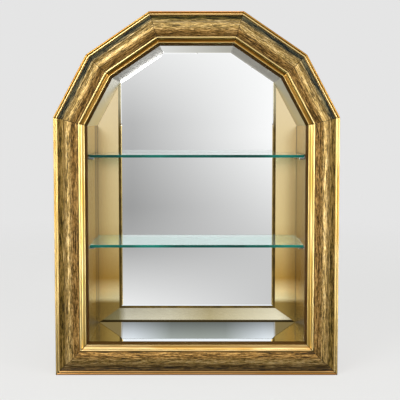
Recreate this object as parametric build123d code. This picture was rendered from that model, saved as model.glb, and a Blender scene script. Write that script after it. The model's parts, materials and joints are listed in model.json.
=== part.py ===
from build123d import *
import os
from math import cos, hypot, radians, sin

# Mirrored wall cabinet: a gilt moulding of eight mitred lengths round a mirror-lined box
# with two glass shelves. Millimetres. X runs to the right, Y into the wall and Z up.
# The origin is on the back panel's rear face, midway between the two hanging rings.
# "inset" is measured inwards from the frame's outer edge, in the plane of the frame, and
# "reach" is measured out of the wall, from the back panel's rear face towards the room.

# Outline of the frame
top_rail_length = 201.0
upper_facet_length = 162.0
upper_facet_slope = 34.2
lower_facet_length = 150.0
lower_facet_slope = 61.9
stile_height = 557.5
hanger_below_hip = 37.5

# Moulding section
moulding_width = 72.0
rabbet_depth = 6.0
outer_side_height = 7.0
bead_count = 2
bead_width = 4.5
bead_rise = 1.7
bead_fillet_drop = 1.0
bead_fillet_width = 1.2
valley_width = 10.0
valley_floor = 4.0
valley_hollow = 1.2
band_width = 32.8
band_crest = 19.5
band_crest_place = 18.5
band_end_height = 15.0
quirk_width = 0.7
quirk_depth = 1.8
lip_bead_width = 4.4
lip_bead_rise = 1.9
lip_hollow_width = 6.8
lip_hollow_fall = 3.8
lip_hollow_depth = 1.1
lip_nose_width = 1.9
lip_nose_rise = 0.6

# Case, linings and back
board_thickness = 15.0
board_fit = 0.3
lining_thickness = 3.0
interior_depth = 145.0
back_glass_thickness = 3.0
back_glass_fit = 0.3
back_panel_thickness = 3.0
back_panel_margin = 2.0
bevel_depth = 1.0
bevel_angle = 70.0
joint_strip_width = 5.5
joint_strip_thickness = 3.0
bottom_border_height = 34.0

# Shelves and their pins
shelf_thickness = 6.0
upper_shelf_height = 477.0
lower_shelf_height = 282.0
shelf_front_setback = 5.0
shelf_back_gap = 2.0
shelf_side_gap = 2.0
shelf_arris = 0.6
shelf_seat_gap = 0.3
pin_shaft_radius = 2.5
pin_shaft_depth = 11.0
pin_hole_fit = 0.1
pin_collar_radius = 4.2
pin_collar_width = 1.4
pin_seat_radius = 3.6
pin_seat_length = 9.0
pin_seat_flat = 1.2
pin_end_margin = 14.0

# Hangers, bumpers, blocks and screws
strap_width = 14.0
strap_length = 36.0
strap_thickness = 1.2
ring_wire_radius = 1.5
ring_running_gap = 0.3
ring_half_width = 11.5
ring_corner_radius = 2.6
ring_straight_drop = 6.0
hanger_screw_drops = (9.5, 27.0)
bumper_radius = 7.0
bumper_inset = 12.0
glue_block_size = 18.0
glue_block_length = 60.0
glue_block_spacing = 280.0
screw_shank_radius = 1.5
screw_length = 16.0
screw_head_radius = 2.9
screw_head_height = 1.8
screw_fit = 0.1
panel_screw_spacing = 210.0
small_round_sides = 12
wire_sides = 6

side_names = [
    "left_stile",
    "left_lower_facet",
    "left_upper_facet",
    "top_rail",
    "right_upper_facet",
    "right_lower_facet",
    "right_stile",
    "bottom_rail",
]
left_stile = side_names.index("left_stile")
right_stile = side_names.index("right_stile")
bottom_rail = side_names.index("bottom_rail")

# Levels that follow from the sizes above
hanging_height = stile_height - hanger_below_hip
glass_back_reach = back_panel_thickness
glass_front_reach = glass_back_reach + back_glass_thickness
case_front_reach = glass_front_reach + interior_depth
frame_back_reach = case_front_reach - rabbet_depth
lining_outer_inset = moulding_width - lining_thickness
board_outer_inset = lining_outer_inset - board_thickness
screw_line_inset = board_outer_inset + board_thickness / 2


def outline():
    """Corners of the frame's outer edge as (x, z), clockwise from the bottom left."""
    half_top = top_rail_length / 2
    half_shoulder = half_top + upper_facet_length * cos(radians(upper_facet_slope))
    half_width = half_shoulder + lower_facet_length * cos(radians(lower_facet_slope))
    hip = stile_height - hanging_height
    shoulder = hip + lower_facet_length * sin(radians(lower_facet_slope))
    top = shoulder + upper_facet_length * sin(radians(upper_facet_slope))
    foot = -hanging_height
    left = [(-half_width, foot), (-half_width, hip), (-half_shoulder, shoulder), (-half_top, top)]
    right = [(-x, z) for x, z in reversed(left)]
    return left + right


def direction(side):
    """Unit vector along a side of the outline."""
    corners = outline()
    (ax, az), (bx, bz) = corners[side], corners[(side + 1) % len(corners)]
    length = hypot(bx - ax, bz - az)
    return (bx - ax) / length, (bz - az) / length


def inward(side):
    """Unit vector across a side, towards the middle of the frame."""
    dx, dz = direction(side)
    return dz, -dx


def inset_corner(corner, inset):
    """A corner of the outline moved in by the same distance from both of its sides."""
    x, z = outline()[corner]
    ax, az = inward(corner - 1 if corner else len(side_names) - 1)
    bx, bz = inward(corner)
    share = inset / (1 + ax * bx + az * bz)
    return x + (ax + bx) * share, z + (az + bz) * share


def inset_outline(inset):
    """The whole outline moved in."""
    return [inset_corner(corner, inset) for corner in range(len(side_names))]


def mitred_trapezium(side, outer_inset, inner_inset):
    """One side's share of the ring between two insets, with mitred ends."""
    following = (side + 1) % len(side_names)
    return [
        inset_corner(side, outer_inset),
        inset_corner(following, outer_inset),
        inset_corner(following, inner_inset),
        inset_corner(side, inner_inset),
    ]


def on_side(side, along, inset):
    """A point of the frame's plane, by its distance along a side and its inset."""
    x, z = outline()[side]
    dx, dz = direction(side)
    nx, nz = inward(side)
    return x + dx * along + nx * inset, z + dz * along + nz * inset


def slab(points, start, end):
    """A flat piece with the outline of the points, from one reach to another."""
    face = Plane.XZ.offset(start) * make_face(Polyline(*points, close=True))
    return extrude(face, end - start, dir=(0, -1, 0))


def rod(x, z, radius, start, end):
    """A bar square to the wall, from one reach to another, with few faces as it repeats."""
    section = RegularPolygon(radius, small_round_sides)
    face = Plane.XZ.offset(start) * Pos(x, z) * section
    return extrude(face, end - start, dir=(0, -1, 0))


def chain(points_and_bulges):
    """Lines and arcs through the points; a bulge above 0 makes a crown, below 0 a hollow."""
    edges = []
    for (start, bulge), (end, _) in zip(points_and_bulges, points_and_bulges[1:]):
        if bulge:
            edges.append(SagittaArc(start, end, -bulge))
        else:
            edges.append(Line(start, end))
    return edges


def moulding_section():
    """Section of the moulding: inset across, height above the case's front edge up."""
    beads_end = bead_count * bead_width
    points = [((0, -rabbet_depth), 0)]
    for bead in range(bead_count):
        points.append(((bead * bead_width, outer_side_height), bead_rise))
    fillet_end = beads_end + bead_fillet_width
    fillet_height = outer_side_height - bead_fillet_drop
    points.append(((beads_end, outer_side_height), 0))
    points.append(((beads_end, fillet_height), 0))
    points.append(((fillet_end, fillet_height), -valley_hollow))
    valley_end = fillet_end + valley_width
    band_end = valley_end + band_width
    front = chain(points + [((valley_end, valley_floor), 0)])
    crest = (valley_end + band_crest_place, band_crest)
    front.append(ThreePointArc((valley_end, valley_floor), crest, (band_end, band_end_height)))
    lip_start = band_end + quirk_width
    hollow_start = lip_start + lip_bead_width
    nose_start = hollow_start + lip_hollow_width
    quirk_height = band_end_height - quirk_depth
    nose_height = quirk_height - lip_hollow_fall
    points = [((band_end, band_end_height), 0), ((band_end, quirk_height), 0)]
    points.append(((lip_start, quirk_height), lip_bead_rise))
    points.append(((hollow_start, quirk_height), -lip_hollow_depth))
    points.append(((nose_start, nose_height), lip_nose_rise))
    points.append(((nose_start + lip_nose_width, nose_height), 0))
    points.append(((moulding_width, 0), 0))
    rabbet_inset = board_outer_inset - board_fit
    points.append(((rabbet_inset, 0), 0))
    points.append(((rabbet_inset, -rabbet_depth), 0))
    points.append(((0, -rabbet_depth), 0))
    return make_face(front + chain(points))


def moulding_length(side):
    """One mitred length of the frame: the section drawn along its side, then cut to mitres."""
    corners = outline()
    ax, az = corners[side]
    bx, bz = corners[(side + 1) % len(corners)]
    dx, dz = direction(side)
    nx, nz = inward(side)
    run = hypot(bx - ax, bz - az) + 2 * moulding_width
    start = Vector(ax - dx * moulding_width, -case_front_reach, az - dz * moulding_width)
    across = Plane(origin=start, x_dir=(nx, 0, nz), z_dir=(-dx, 0, -dz))
    bar = extrude(across * moulding_section(), run, dir=(dx, 0, dz))
    wedge = mitred_trapezium(side, 0, moulding_width)
    return bar & slab(wedge, frame_back_reach, case_front_reach + 2 * band_crest)


def side_length(side):
    """Length of one side of the case, on the boards' middle line."""
    ax, az = inset_corner(side, screw_line_inset)
    bx, bz = inset_corner((side + 1) % len(side_names), screw_line_inset)
    return hypot(bx - ax, bz - az)


def spread(side, spacing):
    """Evenly spaced places along one side's board, as distances along the outline."""
    count = max(1, round(side_length(side) / spacing))
    ax, az = inset_corner(side, screw_line_inset)
    ox, oz = outline()[side]
    dx, dz = direction(side)
    lead = (ax - ox) * dx + (az - oz) * dz
    half_space = side_length(side) / (2 * count)
    return [lead + half_space * (2 * place + 1) for place in range(count)]


def panel_screw_places(side):
    """Centres of the back panel's screws along one board."""
    return [on_side(side, along, screw_line_inset) for along in spread(side, panel_screw_spacing)]


def hanger_x():
    """Distance of each hanger from the centre line: the middle of the side board's edge."""
    return inset_corner(right_stile, screw_line_inset)[0]


def hanger_screw_places(side):
    """Centres of the screws of the hanger on one stile board; other boards have none."""
    if side == left_stile:
        return [(-hanger_x(), -drop) for drop in hanger_screw_drops]
    if side == right_stile:
        return [(hanger_x(), -drop) for drop in hanger_screw_drops]
    return []


def shelf_underside(shelf_height):
    return shelf_height - hanging_height - shelf_thickness


def shelf_reaches():
    """Where a shelf's back and front edges lie."""
    return glass_front_reach + shelf_back_gap, case_front_reach - shelf_front_setback


def interior_half_width():
    return inset_corner(right_stile, moulding_width)[0]


def pin_reaches():
    """Where the back and front pins of a shelf lie."""
    back, front = shelf_reaches()
    return back + pin_end_margin, front - pin_end_margin


def cross_bar(section, x_from, x_to, reach, z):
    """A bar of the given section along X."""
    place = Plane(origin=(x_from, -reach, z), z_dir=(1, 0, 0), x_dir=(0, 1, 0))
    return extrude(place * section, x_to - x_from, dir=(1, 0, 0))


def small_round(radius):
    return RegularPolygon(radius, small_round_sides)


def pin_axis_height(shelf_height):
    return shelf_underside(shelf_height) - shelf_seat_gap - pin_seat_flat


def right_shelf_pin(shelf_height, reach):
    """Shaft in the wall, locating collar and flat-topped seat."""
    wall = interior_half_width()
    z = pin_axis_height(shelf_height)
    collar_face = wall - pin_collar_width
    seat_end = collar_face - pin_seat_length
    shaft = cross_bar(small_round(pin_shaft_radius), wall, wall + pin_shaft_depth, reach, z)
    collar = cross_bar(small_round(pin_collar_radius), collar_face, wall, reach, z)
    seat = cross_bar(small_round(pin_seat_radius), seat_end, collar_face, reach, z)
    above_flat = Pos(seat_end, -reach, z + pin_seat_flat + pin_seat_radius)
    above_flat *= Box(2 * pin_seat_length, 2 * pin_seat_radius, 2 * pin_seat_radius)
    return shaft + collar + (seat - above_flat)


def shelf_pins(shelf_height):
    """Four pins: back and front in each side wall."""
    pins = []
    for reach in pin_reaches():
        pin = right_shelf_pin(shelf_height, reach)
        pins += [pin, mirror(pin, about=Plane.YZ)]
    return pins


def pin_holes(side):
    """Cutters for the pins in a stile's board and lining."""
    wall = interior_half_width()
    section = small_round(pin_shaft_radius + pin_hole_fit)
    holes = []
    for shelf_height in (upper_shelf_height, lower_shelf_height):
        for reach in pin_reaches():
            z = pin_axis_height(shelf_height)
            hole = cross_bar(section, wall, wall + pin_shaft_depth + pin_hole_fit, reach, z)
            holes.append(hole if side == right_stile else mirror(hole, about=Plane.YZ))
    return holes


def case_board(side):
    """One mitred board of the case, with its pin holes and the screws' pilot holes."""
    points = mitred_trapezium(side, board_outer_inset, lining_outer_inset)
    board = slab(points, back_panel_thickness, case_front_reach)
    if side in (left_stile, right_stile):
        board -= pin_holes(side)
    pilot_end = screw_length + screw_fit
    for x, z in panel_screw_places(side) + hanger_screw_places(side):
        board -= rod(x, z, screw_shank_radius + screw_fit, 0, pilot_end)
    return board


def lining(side):
    """One mitred mirror strip on the inside of a board."""
    points = mitred_trapezium(side, lining_outer_inset, moulding_width)
    strip = slab(points, glass_back_reach, case_front_reach)
    if side in (left_stile, right_stile):
        strip -= pin_holes(side)
    return strip


def back_layout():
    """Lines that divide the back into its panes, in the plane of the frame."""
    opening = inset_outline(moulding_width + back_glass_fit)
    shoulder_x, shoulder_z = opening[5]
    hip_x, hip_z = opening[6]
    floor = opening[7][1]
    strip_x = shoulder_x + joint_strip_width
    fall = (shoulder_z - hip_z) / (hip_x - shoulder_x)
    return {
        "opening": opening,
        "mirror_x": shoulder_x,
        "strip_x": strip_x,
        "strip_top": shoulder_z - fall * joint_strip_width,
        "border_top": floor + bottom_border_height,
        "mirror_bottom": floor + bottom_border_height + joint_strip_width,
    }


def bevelled_pane(points, start, end):
    """A pane whose front edge is ground to a narrow bevel."""
    body = slab(points, start, end - bevel_depth)
    face = Plane.XZ.offset(end - bevel_depth) * make_face(Polyline(*points, close=True))
    return body + extrude(face, bevel_depth, dir=(0, -1, 0), taper=bevel_angle)


def back_mirror():
    """The central silver mirror: the arch's own top, and straight sides from the shoulders."""
    lay = back_layout()
    arch = lay["opening"][2:6]
    foot = [(lay["mirror_x"], lay["mirror_bottom"]), (-lay["mirror_x"], lay["mirror_bottom"])]
    return bevelled_pane(arch + foot, glass_back_reach, glass_front_reach)


def right_border():
    """Tinted pane beside the mirror, under the lower facet."""
    lay = back_layout()
    points = [
        (lay["strip_x"], lay["border_top"]),
        (lay["strip_x"], lay["strip_top"]),
        lay["opening"][6],
        lay["opening"][7],
    ]
    return slab(points, glass_back_reach, glass_front_reach)


def bottom_border():
    """Tinted pane along the foot of the back, mitred to the side borders."""
    lay = back_layout()
    points = [
        lay["opening"][0],
        (-lay["strip_x"], lay["border_top"]),
        (lay["strip_x"], lay["border_top"]),
        lay["opening"][7],
    ]
    return slab(points, glass_back_reach, glass_front_reach)


def right_joint_strip():
    """Dark strip between the mirror and the side border."""
    lay = back_layout()
    points = [
        (lay["mirror_x"], lay["mirror_bottom"]),
        lay["opening"][5],
        (lay["strip_x"], lay["strip_top"]),
        (lay["strip_x"], lay["border_top"]),
    ]
    return slab(points, glass_back_reach, glass_back_reach + joint_strip_thickness)


def bottom_joint_strip():
    """Dark strip between the mirror and the bottom border."""
    lay = back_layout()
    points = [
        (-lay["strip_x"], lay["border_top"]),
        (-lay["mirror_x"], lay["mirror_bottom"]),
        (lay["mirror_x"], lay["mirror_bottom"]),
        (lay["strip_x"], lay["border_top"]),
    ]
    return slab(points, glass_back_reach, glass_back_reach + joint_strip_thickness)


def back_panel():
    """Hardboard sheet that closes the case, screwed to the boards' back edges."""
    panel = slab(inset_outline(board_outer_inset + back_panel_margin), 0, back_panel_thickness)
    for side in range(len(side_names)):
        for x, z in panel_screw_places(side) + hanger_screw_places(side):
            panel -= rod(x, z, screw_shank_radius + screw_fit, 0, back_panel_thickness)
    return panel


def glass_shelf(shelf_height):
    """A plate of clear glass with its long arrises ground off."""
    back, front = shelf_reaches()
    width = 2 * (interior_half_width() - shelf_side_gap)
    z = shelf_underside(shelf_height) + shelf_thickness / 2
    plate = Pos(0, -(back + front) / 2, z) * Box(width, front - back, shelf_thickness)
    return chamfer(plate.edges().filter_by(Axis.X), shelf_arris)


def ring_axis_y():
    """How far behind the panel a ring's pivot lies."""
    return strap_thickness + ring_running_gap + ring_wire_radius


def right_hanger_strap():
    """Steel strap with a rolled eye at its top for the ring's straight bar."""
    x = hanger_x()
    bore = ring_wire_radius + ring_running_gap
    plate = Pos(x, strap_thickness / 2, -strap_length / 2)
    plate *= Box(strap_width, strap_thickness, strap_length)
    corners = plate.edges().filter_by(Axis.Y).group_by(Axis.Z)[0]
    plate = fillet(corners, strap_width / 2.5)
    left_end = x - strap_width / 2
    right_end = x + strap_width / 2
    eye = cross_bar(Circle(bore + strap_thickness), left_end, right_end, -ring_axis_y(), 0)
    strap = plate + eye
    strap -= cross_bar(Circle(bore), left_end, right_end, -ring_axis_y(), 0)
    for hole_x, z in hanger_screw_places(right_stile):
        strap -= rod(hole_x, z, screw_shank_radius + screw_fit, -strap_thickness, 0)
    return strap


def right_hanger_ring():
    """D ring of round wire, hanging down from its straight bar."""
    x = hanger_x()
    half = ring_half_width
    turn = ring_corner_radius
    bend = turn * (1 - cos(radians(45)))
    bar = Line((-half + turn, 0), (half - turn, 0))
    right_corner = ThreePointArc((half - turn, 0), (half - bend, -bend), (half, -turn))
    right_leg = Line((half, -turn), (half, -ring_straight_drop))
    bow_end = (-half, -ring_straight_drop)
    bow = ThreePointArc((half, -ring_straight_drop), (0, -ring_straight_drop - half), bow_end)
    left_leg = Line(bow_end, (-half, -turn))
    left_corner = ThreePointArc((-half, -turn), (-half + bend, -bend), (-half + turn, 0))
    path = Wire([bar, right_corner, right_leg, bow, left_leg, left_corner])
    wire_section = Plane.YZ * RegularPolygon(ring_wire_radius, wire_sides)
    ring = sweep(wire_section, path=Plane.XZ * path)
    return Pos(x, ring_axis_y(), 0) * ring


def screw(x, z, seat_reach):
    """Pan-head screw driven from behind; its head seats at the given reach."""
    head = rod(x, z, screw_head_radius, seat_reach - screw_head_height, seat_reach)
    return head + rod(x, z, screw_shank_radius, seat_reach, screw_length)


def back_panel_screws():
    places = [place for side in range(len(side_names)) for place in panel_screw_places(side)]
    return [screw(x, z, 0) for x, z in places]


def hanger_screws():
    places = hanger_screw_places(left_stile) + hanger_screw_places(right_stile)
    return [screw(x, z, -strap_thickness) for x, z in places]


def wall_bumpers():
    """Round pads as thick as the hangers are deep, so that the cabinet hangs plumb."""
    x, z = inset_corner(bottom_rail, board_outer_inset + bumper_inset)
    bumper = rod(x, z, bumper_radius, -2 * ring_axis_y(), 0)
    return [bumper, mirror(bumper, about=Plane.YZ)]


def glue_blocks():
    """Blocks in the angle between the frame's back and the outside of the case."""
    outer = board_outer_inset - glue_block_size
    blocks = []
    for side in range(len(side_names)):
        for along in spread(side, glue_block_spacing):
            start = along - glue_block_length / 2
            end = along + glue_block_length / 2
            points = [
                on_side(side, start, outer),
                on_side(side, end, outer),
                on_side(side, end, board_outer_inset),
                on_side(side, start, board_outer_inset),
            ]
            blocks.append(slab(points, frame_back_reach - glue_block_size, frame_back_reach))
    return blocks


def left_of(piece):
    return mirror(piece, about=Plane.YZ)


def sub_parts():
    """Every node's name with its shape."""
    parts = {}
    for side, name in enumerate(side_names):
        parts[f"frame_{name}"] = moulding_length(side)
        parts[f"case_board_{name}"] = case_board(side)
        lining_name = "floor_mirror" if side == bottom_rail else f"lining_{name}"
        parts[lining_name] = lining(side)
    parts["back_mirror"] = back_mirror()
    parts["back_border_right"] = right_border()
    parts["back_border_left"] = left_of(right_border())
    parts["back_border_bottom"] = bottom_border()
    parts["joint_strip_right"] = right_joint_strip()
    parts["joint_strip_left"] = left_of(right_joint_strip())
    parts["joint_strip_bottom"] = bottom_joint_strip()
    parts["back_panel"] = back_panel()
    parts["upper_shelf"] = glass_shelf(upper_shelf_height)
    parts["lower_shelf"] = glass_shelf(lower_shelf_height)
    parts["upper_shelf_pins"] = Compound(children=shelf_pins(upper_shelf_height))
    parts["lower_shelf_pins"] = Compound(children=shelf_pins(lower_shelf_height))
    parts["right_hanger_strap"] = right_hanger_strap()
    parts["left_hanger_strap"] = left_of(right_hanger_strap())
    parts["right_hanger_ring"] = right_hanger_ring()
    parts["left_hanger_ring"] = left_of(right_hanger_ring())
    parts["hanger_screws"] = Compound(children=hanger_screws())
    parts["back_panel_screws"] = Compound(children=back_panel_screws())
    parts["wall_bumpers"] = Compound(children=wall_bumpers())
    parts["glue_blocks"] = Compound(children=glue_blocks())
    return parts


os.makedirs("parts", exist_ok=True)
for name, shape in sub_parts().items():
    export_step(shape, f"parts/{name}.step")
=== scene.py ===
import json
from math import atan2, cos, hypot, pi, radians, sin

import bmesh
import bpy
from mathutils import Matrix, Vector, noise

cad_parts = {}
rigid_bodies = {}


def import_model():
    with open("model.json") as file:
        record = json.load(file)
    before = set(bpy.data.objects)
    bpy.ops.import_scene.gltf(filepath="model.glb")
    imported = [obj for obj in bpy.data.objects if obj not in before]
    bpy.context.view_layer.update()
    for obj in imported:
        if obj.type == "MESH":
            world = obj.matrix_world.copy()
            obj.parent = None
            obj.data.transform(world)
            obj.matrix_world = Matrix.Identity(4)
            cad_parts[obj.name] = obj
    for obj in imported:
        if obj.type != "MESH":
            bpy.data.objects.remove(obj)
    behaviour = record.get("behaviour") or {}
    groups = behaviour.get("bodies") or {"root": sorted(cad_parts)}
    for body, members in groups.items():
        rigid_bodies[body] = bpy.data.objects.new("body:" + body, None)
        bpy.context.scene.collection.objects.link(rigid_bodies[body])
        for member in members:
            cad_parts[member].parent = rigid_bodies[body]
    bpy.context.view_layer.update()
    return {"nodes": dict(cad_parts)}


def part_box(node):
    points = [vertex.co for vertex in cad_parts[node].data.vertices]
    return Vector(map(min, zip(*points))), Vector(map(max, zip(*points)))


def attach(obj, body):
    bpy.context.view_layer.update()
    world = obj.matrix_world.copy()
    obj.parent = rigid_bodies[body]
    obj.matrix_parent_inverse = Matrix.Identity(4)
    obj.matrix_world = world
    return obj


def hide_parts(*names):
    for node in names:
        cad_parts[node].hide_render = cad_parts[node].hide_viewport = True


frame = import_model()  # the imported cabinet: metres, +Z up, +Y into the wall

nodes = frame["nodes"]
pixelsAcross = 400
millimetre = 0.001


def linear(hexColour):
    # sRGB hex to the linear values that shader sockets hold
    shares = [int(hexColour[place:place + 2], 16) / 255 for place in (1, 3, 5)]
    parts = [share / 12.92 if share <= 0.04045 else ((share + 0.055) / 1.055) ** 2.4 for share in shares]
    return (*parts, 1)


def addNode(tree, kind, inputs=None, stops=None, **settings):
    # one node with its settings, its input values or links, and a colour ramp's stops
    node = tree.nodes.new(kind)
    for name, value in settings.items():
        setattr(node, name, value)
    for key, value in (inputs or {}).items():
        if isinstance(value, bpy.types.NodeSocket):
            tree.links.new(value, node.inputs[key])
        else:
            node.inputs[key].default_value = value
    if stops:
        elements = node.color_ramp.elements
        while len(elements) < len(stops):
            elements.new(1)
        for element, (place, colour) in zip(elements, stops):
            element.position = place
            element.color = linear(colour) if isinstance(colour, str) else (colour, colour, colour, 1)
    return node


def startMaterial(name):
    material = bpy.data.materials.new(name)
    material.use_nodes = True
    material.node_tree.nodes.clear()
    return material, material.node_tree


def surfaced(material, shader):
    # the material, with this shader as its surface
    addNode(material.node_tree, "ShaderNodeOutputMaterial", {"Surface": shader.outputs[0]})
    return material


def objectPlace(tree):
    return addNode(tree, "ShaderNodeTexCoord").outputs["Object"]


def reckoned(tree, operation, *values):
    # one step of arithmetic on sockets or numbers
    return addNode(tree, "ShaderNodeMath", dict(enumerate(values)), operation=operation).outputs[0]


def summed(tree, *parts):
    # weighted sum of sockets, given as (socket, weight)
    total = 0.0
    for socket, weight in parts:
        total = reckoned(tree, "MULTIPLY_ADD", socket, weight, total)
    return total


def mapped(tree, value, low, high, start=0.0, end=1.0, **settings):
    # how far a value has come from low to high, told as a number from start to end
    inputs = {"Value": value, "From Min": low, "From Max": high, "To Min": start, "To Max": end}
    return addNode(tree, "ShaderNodeMapRange", inputs, **settings).outputs[0]


def dotted(tree, place, direction):
    # how far a place lies along a direction
    inputs = {0: place, 1: direction}
    return addNode(tree, "ShaderNodeVectorMath", inputs, operation="DOT_PRODUCT").outputs["Value"]


def ramped(tree, value, stops):
    return addNode(tree, "ShaderNodeValToRGB", {0: value}, stops=stops).outputs[0]


def blended(tree, share, first, second):
    # one colour laid over another; either may be a socket or a hex colour
    first, second = [linear(colour) if isinstance(colour, str) else colour for colour in (first, second)]
    return addNode(tree, "ShaderNodeMix", {0: share, 6: first, 7: second}, data_type="RGBA").outputs[2]


def clouded(tree, place, scale, detail, roughness=0.5):
    inputs = {"Vector": place, "Scale": scale, "Detail": detail, "Roughness": roughness}
    return addNode(tree, "ShaderNodeTexNoise", inputs).outputs["Fac"]


def bumped(tree, height, strength, distance):
    inputs = {"Strength": strength, "Distance": distance, "Height": height}
    return addNode(tree, "ShaderNodeBump", inputs).outputs["Normal"]


def principled(tree, colour, roughness, others=None):
    colour = linear(colour) if isinstance(colour, str) else colour
    inputs = {"Base Color": colour, "Roughness": roughness, **(others or {})}
    return addNode(tree, "ShaderNodeBsdfPrincipled", inputs)


def mixedShader(tree, share, first, second):
    return addNode(tree, "ShaderNodeMixShader", {0: share, 1: first.outputs[0], 2: second.outputs[0]})


def dress(piece, *materials):
    # a piece wears these materials in place of what it came with
    piece.data.materials.clear()
    for material in materials:
        piece.data.materials.append(material)


# The frame's outer edge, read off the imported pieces: corners clockwise from the bottom left
sideNames = ["left_stile", "left_lower_facet", "left_upper_facet", "top_rail",
             "right_upper_facet", "right_lower_facet", "right_stile", "bottom_rail"]
stileLow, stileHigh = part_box("frame_left_stile")
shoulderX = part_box("frame_left_upper_facet")[0].x
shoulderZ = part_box("frame_left_lower_facet")[1].z
topLow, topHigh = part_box("frame_top_rail")
leftCorners = [(stileLow.x, stileLow.z), (stileLow.x, stileHigh.z), (shoulderX, shoulderZ),
               (topLow.x, topHigh.z)]
corners = leftCorners + [(-x, z) for x, z in reversed(leftCorners)]
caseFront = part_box("lining_left_stile")[0].y  # where the case ends and the frame's face begins
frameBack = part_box("frame_left_stile")[1].y
footZ = stileLow.z


def sideDirection(side):
    (ax, az), (bx, bz) = corners[side], corners[(side + 1) % 8]
    length = hypot(bx - ax, bz - az)
    return (bx - ax) / length, (bz - az) / length


def sideInward(side):
    dx, dz = sideDirection(side)
    return dz, -dx


def insetCorner(corner, inset):
    # a corner of the outline moved in by the same distance from both of its sides
    x, z = corners[corner]
    ax, az = sideInward((corner - 1) % 8)
    bx, bz = sideInward(corner)
    share = inset / (1 + ax * bx + az * bz)
    return x + (ax + bx) * share, z + (az + bz) * share


# The camera stands a little right of the middle and above the upper shelf, and looks down by 3 degrees
cameraView = {
    "place": (0.0129, -1.651, 0.026),
    "down": 2.98,
    "lens": 63.1,
    "middle": (202.6, 159.2),  # the pixel straight ahead of the lens
}


def setCamera():
    camera = bpy.data.objects.new("camera", bpy.data.cameras.new("camera"))
    bpy.context.scene.collection.objects.link(camera)
    camera.location = cameraView["place"]
    camera.rotation_euler = (radians(90 - cameraView["down"]), 0, 0)
    camera.data.lens = cameraView["lens"]
    camera.data.sensor_width = 36
    half = pixelsAcross / 2
    camera.data.shift_x = (half - cameraView["middle"][0]) / pixelsAcross
    camera.data.shift_y = (cameraView["middle"][1] - half) / pixelsAcross
    bpy.context.scene.camera = camera
    bpy.context.scene.view_settings.view_transform = "Standard"


# The room: what a mirror or bare metal sees of it, and what lights dull surfaces. A list of numbers gives
# the brightness by height, from straight down (0) over the horizon (0.5) to straight up (1)
room = {
    "background": "#E5E5E5",
    "ambient": 0.34,
    "aheadLeft": [(0.345, 0.1), (0.37, 0.9), (0.41, 0.45), (0.44, 0.35), (0.5, 0.5), (0.58, 1.0)],
    "aheadRight": [(0.35, 0.1), (0.37, 0.6), (0.41, 0.6), (0.49, 1.0)],
    "sides": [(0, 0.06), (0.36, 0.1), (0.42, 0.85), (1, 1.1)],
    "aheadReach": 0.1,  # how far to either side of straight ahead the left and the right list lie
    "sidesFrom": (0.2, 0.45),  # the third list sets in at the first and is whole at the second
    # what the floor mirror shows of the far side, painted into the room by the way off the middle: a painted
    # reflection of pale glass, then of the gold borders
    "behind": [(0, "#A5AAA2"), (0.25, "#A9AEA8"), (0.6, "#EFF4F8"), (0.69, "#F4F8FA"), (0.71, "#86744A"),
               (1, "#7C6A42")],
    "goldFrom": 0.7,
    "behindReach": 0.15,
    "behindMiddle": -0.006,
    "behindRise": (0.274, 0.3, 0.3),  # it brightens from this height to that one, starting at this share
}
# soft boxes: place, aim, width and height in metres, watts
lamps = {
    "keyLamp": ((-1.7, -2.3, 1.5), (0, -0.1, -0.1), (1.3, 1.3), 56),
    "fillLamp": ((2.0, -2.0, 0.9), (0, -0.1, -0.15), (1.2, 1.2), 7),
    "topLamp": ((0.2, -0.7, 2.3), (0, -0.1, 0), (1.0, 1.0), 16),
    "leftStrip": ((-1.9, -1.3, -0.1), (0, -0.15, -0.1), (0.35, 1.7), 20),
    "rightStrip": ((1.9, -1.3, -0.1), (0, -0.15, -0.1), (0.35, 1.7), 30),
}


def lightRoom():
    world = bpy.data.worlds.new("paleStudio")
    bpy.context.scene.world = world
    world.use_nodes = True
    tree = world.node_tree
    tree.nodes.clear()
    place = addNode(tree, "ShaderNodeTexCoord").outputs["Generated"]
    way = addNode(tree, "ShaderNodeSeparateXYZ", {0: place}).outputs
    height = reckoned(tree, "MULTIPLY_ADD", way["Z"], 0.5, 0.5)
    left, right, sides = [ramped(tree, height, room[part]) for part in ("aheadLeft", "aheadRight", "sides")]
    reach = room["aheadReach"]
    ahead = blended(tree, mapped(tree, way["X"], -reach, reach), left, right)
    off = reckoned(tree, "ABSOLUTE", way["X"])
    seen = blended(tree, mapped(tree, off, *room["sidesFrom"]), ahead, sides)
    behind = farSide(tree, way)
    seen = blended(tree, reckoned(tree, "GREATER_THAN", way["Y"], 0.0), seen, behind)
    rays = addNode(tree, "ShaderNodeLightPath").outputs
    shiny = reckoned(tree, "MAXIMUM", rays["Is Glossy Ray"], rays["Is Transmission Ray"])
    ambient = room["ambient"]
    dullOrShiny = blended(tree, shiny, (ambient, ambient, ambient, 1), seen)
    whole = blended(tree, rays["Is Camera Ray"], dullOrShiny, room["background"])
    light = addNode(tree, "ShaderNodeBackground", {"Color": whole})
    addNode(tree, "ShaderNodeOutputWorld", {"Surface": light.outputs[0]})
    for name, (place, aim, size, watts) in lamps.items():
        lamp = bpy.data.objects.new(name, bpy.data.lights.new(name, "AREA"))
        bpy.context.scene.collection.objects.link(lamp)
        lamp.location = place
        lamp.rotation_euler = (Vector(aim) - Vector(place)).to_track_quat("-Z", "Y").to_euler()
        lamp.data.shape = "RECTANGLE"
        lamp.data.size, lamp.data.size_y = size
        lamp.data.energy = watts


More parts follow.
